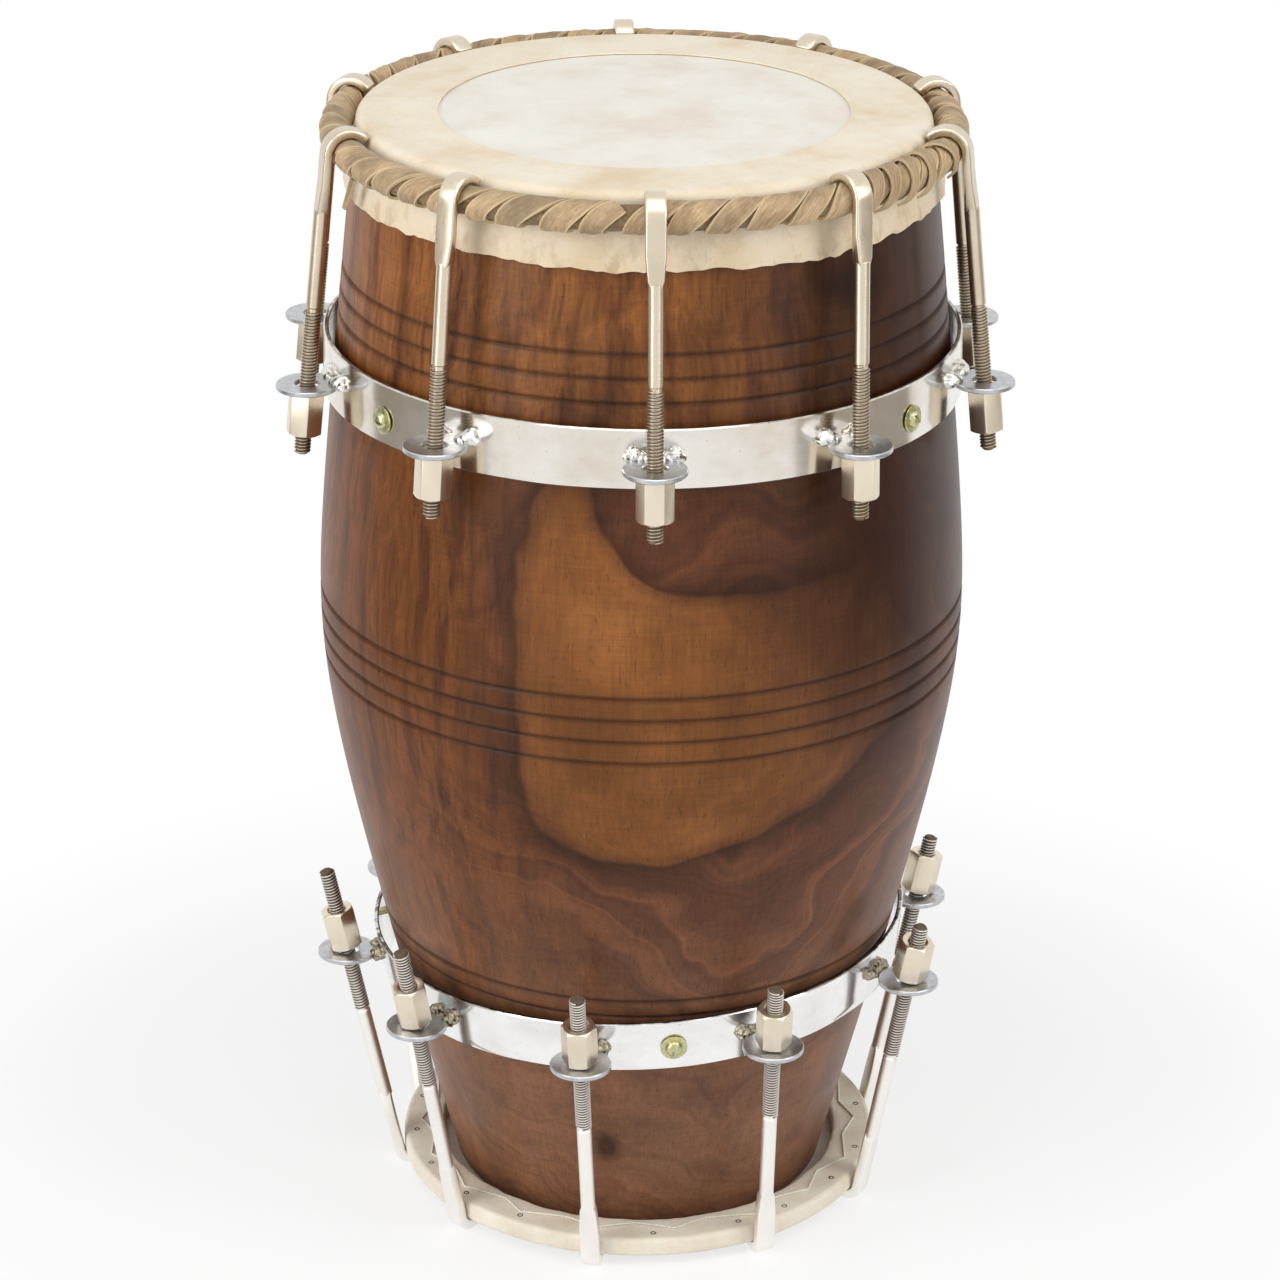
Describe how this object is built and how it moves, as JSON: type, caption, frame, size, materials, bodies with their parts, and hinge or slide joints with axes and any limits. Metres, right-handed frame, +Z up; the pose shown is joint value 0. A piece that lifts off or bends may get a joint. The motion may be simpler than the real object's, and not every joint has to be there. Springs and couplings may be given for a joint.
{
  "type": "two-headed barrel drum",
  "caption": "Hollow wooden barrel drum with a wide and a narrow skin head, each pulled taut by threaded hooks and long nuts on a welded metal band.",
  "frame": {"origin": "on the ground under the middle of the drum as it stands on its narrow end, on the feet of its lower hooks", "axes": "+Z up along the axis of the drum towards its wide head; -Y is the side seen in the picture"},
  "size_m": [0.2812, 0.2919, 0.4513],
  "materials": {
    "lacquered_wood": "dark red-brown hardwood with a lighter figure, semi-gloss lacquer",
    "band_steel": "bright polished strip and washers, lightly scratched, silvery weld metal",
    "hook_nickel": "warm nickel plate over steel rod, grime in the thread",
    "nut_nickel": "warm nickel plate",
    "screw_zinc": "greenish-yellow zinc plate",
    "hoop_iron": "plain dark iron flat ring",
    "pale_skin": "pale greyish rawhide, matt",
    "cream_skin": "cream rawhide, slightly mottled, matt",
    "hoop_skin": "ivory rawhide, matt",
    "thong_leather": "tan-khaki flat thong with light edges",
    "ring_cane": "plain cane",
    "lace_thread": "off-white twisted thread"
  },
  "bodies": {
    "drum": {"shell": "lacquered_wood", "bass_band": "band_steel", "treble_band": "band_steel", "bass_screw_1": "screw_zinc", "bass_screw_2": "screw_zinc", "bass_screw_3": "screw_zinc", "treble_screw_1": "screw_zinc", "treble_screw_2": "screw_zinc", "treble_screw_3": "screw_zinc", "bass_skin": "pale_skin", "bass_overskin": "cream_skin", "bass_ring": "ring_cane", "bass_lashing": "thong_leather", "treble_skin": "hoop_skin", "treble_hoop": "hoop_iron", "treble_lacing": "lace_thread"},
    "bass_tie_01": {"bass_hook_01": "hook_nickel"},
    "bass_nut_body_01": {"bass_nut_01": "nut_nickel"},
    "bass_tie_02": {"bass_hook_02": "hook_nickel"},
    "bass_nut_body_02": {"bass_nut_02": "nut_nickel"},
    "bass_tie_03": {"bass_hook_03": "hook_nickel"},
    "bass_nut_body_03": {"bass_nut_03": "nut_nickel"},
    "bass_tie_04": {"bass_hook_04": "hook_nickel"},
    "bass_nut_body_04": {"bass_nut_04": "nut_nickel"},
    "bass_tie_05": {"bass_hook_05": "hook_nickel"},
    "bass_nut_body_05": {"bass_nut_05": "nut_nickel"},
    "bass_tie_06": {"bass_hook_06": "hook_nickel"},
    "bass_nut_body_06": {"bass_nut_06": "nut_nickel"},
    "bass_tie_07": {"bass_hook_07": "hook_nickel"},
    "bass_nut_body_07": {"bass_nut_07": "nut_nickel"},
    "bass_tie_08": {"bass_hook_08": "hook_nickel"},
    "bass_nut_body_08": {"bass_nut_08": "nut_nickel"},
    "bass_tie_09": {"bass_hook_09": "hook_nickel"},
    "bass_nut_body_09": {"bass_nut_09": "nut_nickel"},
    "bass_tie_10": {"bass_hook_10": "hook_nickel"},
    "bass_nut_body_10": {"bass_nut_10": "nut_nickel"},
    "treble_tie_01": {"treble_hook_01": "hook_nickel"},
    "treble_nut_body_01": {"treble_nut_01": "nut_nickel"},
    "treble_tie_02": {"treble_hook_02": "hook_nickel"},
    "treble_nut_body_02": {"treble_nut_02": "nut_nickel"},
    "treble_tie_03": {"treble_hook_03": "hook_nickel"},
    "treble_nut_body_03": {"treble_nut_03": "nut_nickel"},
    "treble_tie_04": {"treble_hook_04": "hook_nickel"},
    "treble_nut_body_04": {"treble_nut_04": "nut_nickel"},
    "treble_tie_05": {"treble_hook_05": "hook_nickel"},
    "treble_nut_body_05": {"treble_nut_05": "nut_nickel"},
    "treble_tie_06": {"treble_hook_06": "hook_nickel"},
    "treble_nut_body_06": {"treble_nut_06": "nut_nickel"},
    "treble_tie_07": {"treble_hook_07": "hook_nickel"},
    "treble_nut_body_07": {"treble_nut_07": "nut_nickel"},
    "treble_tie_08": {"treble_hook_08": "hook_nickel"},
    "treble_nut_body_08": {"treble_nut_08": "nut_nickel"},
    "treble_tie_09": {"treble_hook_09": "hook_nickel"},
    "treble_nut_body_09": {"treble_nut_09": "nut_nickel"},
    "treble_tie_10": {"treble_hook_10": "hook_nickel"},
    "treble_nut_body_10": {"treble_nut_10": "nut_nickel"}
  },
  "joints": [
    {"name": "bass_nut_01_turn", "type": "hinge", "parent": "drum", "child": "bass_nut_body_01", "pos_m": [0.00469, -0.13437, 0.35095], "axis": [0.0037, -0.1049, -0.9945], "range_deg": [0, 2881]},
    {"name": "bass_hook_01_slide", "type": "slide", "parent": "drum", "child": "bass_tie_01", "axis": [-0.0037, 0.1049, 0.9945], "range_m": [0, 0.01016]},
    {"name": "bass_nut_02_turn", "type": "hinge", "parent": "drum", "child": "bass_nut_body_02", "pos_m": [0.07931, -0.10858, 0.35085], "axis": [0.0129, -0.1204, -0.9926], "range_deg": [0, 2881]},
    {"name": "bass_hook_02_slide", "type": "slide", "parent": "drum", "child": "bass_tie_02", "axis": [-0.0129, 0.1204, 0.9926], "range_m": [0, 0.01016]},
    {"name": "bass_nut_03_turn", "type": "hinge", "parent": "drum", "child": "bass_nut_body_03", "pos_m": [0.12924, -0.03706, 0.35095], "axis": [0.1009, -0.0289, -0.9945], "range_deg": [0, 2881]},
    {"name": "bass_hook_03_slide", "type": "slide", "parent": "drum", "child": "bass_tie_03", "axis": [-0.1009, 0.0289, 0.9945], "range_m": [0, 0.01016]},
    {"name": "bass_nut_04_turn", "type": "hinge", "parent": "drum", "child": "bass_nut_body_04", "pos_m": [0.12858, 0.03931, 0.35095], "axis": [0.1004, 0.0307, -0.9945], "range_deg": [0, 2881]},
    {"name": "bass_hook_04_slide", "type": "slide", "parent": "drum", "child": "bass_tie_04", "axis": [-0.1004, -0.0307, 0.9945], "range_m": [0, 0.01016]},
    {"name": "bass_nut_05_turn", "type": "hinge", "parent": "drum", "child": "bass_nut_body_05", "pos_m": [0.07712, 0.11014, 0.35095], "axis": [0.0602, 0.086, -0.9945], "range_deg": [0, 2881]},
    {"name": "bass_hook_05_slide", "type": "slide", "parent": "drum", "child": "bass_tie_05", "axis": [-0.0602, -0.086, 0.9945], "range_m": [0, 0.01016]},
    {"name": "bass_nut_06_turn", "type": "hinge", "parent": "drum", "child": "bass_nut_body_06", "pos_m": [-0.00985, 0.13409, 0.35095], "axis": [-0.0077, 0.1047, -0.9945], "range_deg": [0, 2881]},
    {"name": "bass_hook_06_slide", "type": "slide", "parent": "drum", "child": "bass_tie_06", "axis": [0.0077, -0.1047, 0.9945], "range_m": [0, 0.01016]},
    {"name": "bass_nut_07_turn", "type": "hinge", "parent": "drum", "child": "bass_nut_body_07", "pos_m": [-0.08732, 0.10224, 0.35095], "axis": [-0.0682, 0.0799, -0.9945], "range_deg": [0, 2881]},
    {"name": "bass_hook_07_slide", "type": "slide", "parent": "drum", "child": "bass_tie_07", "axis": [0.0682, -0.0799, 0.9945], "range_m": [0, 0.01016]},
    {"name": "bass_nut_08_turn", "type": "hinge", "parent": "drum", "child": "bass_nut_body_08", "pos_m": [-0.12924, 0.03706, 0.35095], "axis": [-0.1009, 0.0289, -0.9945], "range_deg": [0, 2881]},
    {"name": "bass_hook_08_slide", "type": "slide", "parent": "drum", "child": "bass_tie_08", "axis": [0.1009, -0.0289, 0.9945], "range_m": [0, 0.01016]},
    {"name": "bass_nut_09_turn", "type": "hinge", "parent": "drum", "child": "bass_nut_body_09", "pos_m": [-0.12634, -0.04598, 0.35095], "axis": [-0.0987, -0.0359, -0.9945], "range_deg": [0, 2881]},
    {"name": "bass_hook_09_slide", "type": "slide", "parent": "drum", "child": "bass_tie_09", "axis": [0.0987, 0.0359, 0.9945], "range_m": [0, 0.01016]},
    {"name": "bass_nut_10_turn", "type": "hinge", "parent": "drum", "child": "bass_nut_body_10", "pos_m": [-0.07519, -0.11147, 0.35095], "axis": [-0.0587, -0.0871, -0.9945], "range_deg": [0, 2881]},
    {"name": "bass_hook_10_slide", "type": "slide", "parent": "drum", "child": "bass_tie_10", "axis": [0.0587, 0.0871, 0.9945], "range_m": [0, 0.01016]},
    {"name": "treble_nut_01_turn", "type": "hinge", "parent": "drum", "child": "treble_nut_body_01", "pos_m": [-0.02224, -0.11884, 0.10547], "axis": [-0.038, -0.2031, 0.9784], "range_deg": [0, 2881]},
    {"name": "treble_hook_01_slide", "type": "slide", "parent": "drum", "child": "treble_tie_01", "axis": [0.038, 0.2031, -0.9784], "range_m": [0, 0.01016]},
    {"name": "treble_nut_02_turn", "type": "hinge", "parent": "drum", "child": "treble_nut_body_02", "pos_m": [0.05196, -0.10997, 0.10893], "axis": [0.0128, -0.2219, 0.975], "range_deg": [0, 2881]},
    {"name": "treble_hook_02_slide", "type": "slide", "parent": "drum", "child": "treble_tie_02", "axis": [-0.0128, 0.2219, -0.975], "range_m": [0, 0.01016]},
    {"name": "treble_nut_03_turn", "type": "hinge", "parent": "drum", "child": "treble_nut_body_03", "pos_m": [0.10716, -0.05862, 0.11135], "axis": [0.15, -0.1556, 0.9764], "range_deg": [0, 2881]},
    {"name": "treble_hook_03_slide", "type": "slide", "parent": "drum", "child": "treble_tie_03", "axis": [-0.15, 0.1556, -0.9764], "range_m": [0, 0.01016]},
    {"name": "treble_nut_04_turn", "type": "hinge", "parent": "drum", "child": "treble_nut_body_04", "pos_m": [0.11587, 0.03322, 0.10375], "axis": [0.1986, 0.057, 0.9784], "range_deg": [0, 2881]},
    {"name": "treble_hook_04_slide", "type": "slide", "parent": "drum", "child": "treble_tie_04", "axis": [-0.1986, -0.057, -0.9784], "range_m": [0, 0.01016]},
    {"name": "treble_nut_05_turn", "type": "hinge", "parent": "drum", "child": "treble_nut_body_05", "pos_m": [0.07833, 0.09335, 0.11], "axis": [0.1328, 0.1583, 0.9784], "range_deg": [0, 2881]},
    {"name": "treble_hook_05_slide", "type": "slide", "parent": "drum", "child": "treble_tie_05", "axis": [-0.1328, -0.1583, -0.9784], "range_m": [0, 0.01016]},
    {"name": "treble_nut_06_turn", "type": "hinge", "parent": "drum", "child": "treble_nut_body_06", "pos_m": [0.01478, 0.12035, 0.10715], "axis": [0.0252, 0.2051, 0.9784], "range_deg": [0, 2881]},
    {"name": "treble_hook_06_slide", "type": "slide", "parent": "drum", "child": "treble_tie_06", "axis": [-0.0252, -0.2051, -0.9784], "range_m": [0, 0.01016]},
    {"name": "treble_nut_07_turn", "type": "hinge", "parent": "drum", "child": "treble_nut_body_07", "pos_m": [-0.05287, 0.1084, 0.10408], "axis": [-0.0906, 0.1857, 0.9784], "range_deg": [0, 2881]},
    {"name": "treble_hook_07_slide", "type": "slide", "parent": "drum", "child": "treble_tie_07", "axis": [0.0906, -0.1857, -0.9784], "range_m": [0, 0.01016]},
    {"name": "treble_nut_08_turn", "type": "hinge", "parent": "drum", "child": "treble_nut_body_08", "pos_m": [-0.10334, 0.06133, 0.10201], "axis": [-0.1073, 0.2213, 0.9693], "range_deg": [0, 2881]},
    {"name": "treble_hook_08_slide", "type": "slide", "parent": "drum", "child": "treble_tie_08", "axis": [0.1073, -0.2213, -0.9693], "range_m": [0, 0.01016]},
    {"name": "treble_nut_09_turn", "type": "hinge", "parent": "drum", "child": "treble_nut_body_09", "pos_m": [-0.11897, -0.01545, 0.10105], "axis": [-0.2049, -0.0266, 0.9784], "range_deg": [0, 2881]},
    {"name": "treble_hook_09_slide", "type": "slide", "parent": "drum", "child": "treble_tie_09", "axis": [0.2049, 0.0266, -0.9784], "range_m": [0, 0.01016]},
    {"name": "treble_nut_10_turn", "type": "hinge", "parent": "drum", "child": "treble_nut_body_10", "pos_m": [-0.08739, -0.08264, 0.1025], "axis": [-0.1501, -0.142, 0.9784], "range_deg": [0, 2881]},
    {"name": "treble_hook_10_slide", "type": "slide", "parent": "drum", "child": "treble_tie_10", "axis": [0.1501, 0.142, -0.9784], "range_m": [0, 0.01016]}
  ],
  "couplings": [
    {"joint": "bass_nut_01_turn", "follows": "bass_hook_01_slide", "rad_per_m": 4947.4},
    {"joint": "bass_nut_02_turn", "follows": "bass_hook_02_slide", "rad_per_m": 4947.4},
    {"joint": "bass_nut_03_turn", "follows": "bass_hook_03_slide", "rad_per_m": 4947.4},
    {"joint": "bass_nut_04_turn", "follows": "bass_hook_04_slide", "rad_per_m": 4947.4},
    {"joint": "bass_nut_05_turn", "follows": "bass_hook_05_slide", "rad_per_m": 4947.4},
    {"joint": "bass_nut_06_turn", "follows": "bass_hook_06_slide", "rad_per_m": 4947.4},
    {"joint": "bass_nut_07_turn", "follows": "bass_hook_07_slide", "rad_per_m": 4947.4},
    {"joint": "bass_nut_08_turn", "follows": "bass_hook_08_slide", "rad_per_m": 4947.4},
    {"joint": "bass_nut_09_turn", "follows": "bass_hook_09_slide", "rad_per_m": 4947.4},
    {"joint": "bass_nut_10_turn", "follows": "bass_hook_10_slide", "rad_per_m": 4947.4},
    {"joint": "treble_nut_01_turn", "follows": "treble_hook_01_slide", "rad_per_m": 4947.4},
    {"joint": "treble_nut_02_turn", "follows": "treble_hook_02_slide", "rad_per_m": 4947.4},
    {"joint": "treble_nut_03_turn", "follows": "treble_hook_03_slide", "rad_per_m": 4947.4},
    {"joint": "treble_nut_04_turn", "follows": "treble_hook_04_slide", "rad_per_m": 4947.4},
    {"joint": "treble_nut_05_turn", "follows": "treble_hook_05_slide", "rad_per_m": 4947.4},
    {"joint": "treble_nut_06_turn", "follows": "treble_hook_06_slide", "rad_per_m": 4947.4},
    {"joint": "treble_nut_07_turn", "follows": "treble_hook_07_slide", "rad_per_m": 4947.4},
    {"joint": "treble_nut_08_turn", "follows": "treble_hook_08_slide", "rad_per_m": 4947.4},
    {"joint": "treble_nut_09_turn", "follows": "treble_hook_09_slide", "rad_per_m": 4947.4},
    {"joint": "treble_nut_10_turn", "follows": "treble_hook_10_slide", "rad_per_m": 4947.4}
  ]
}
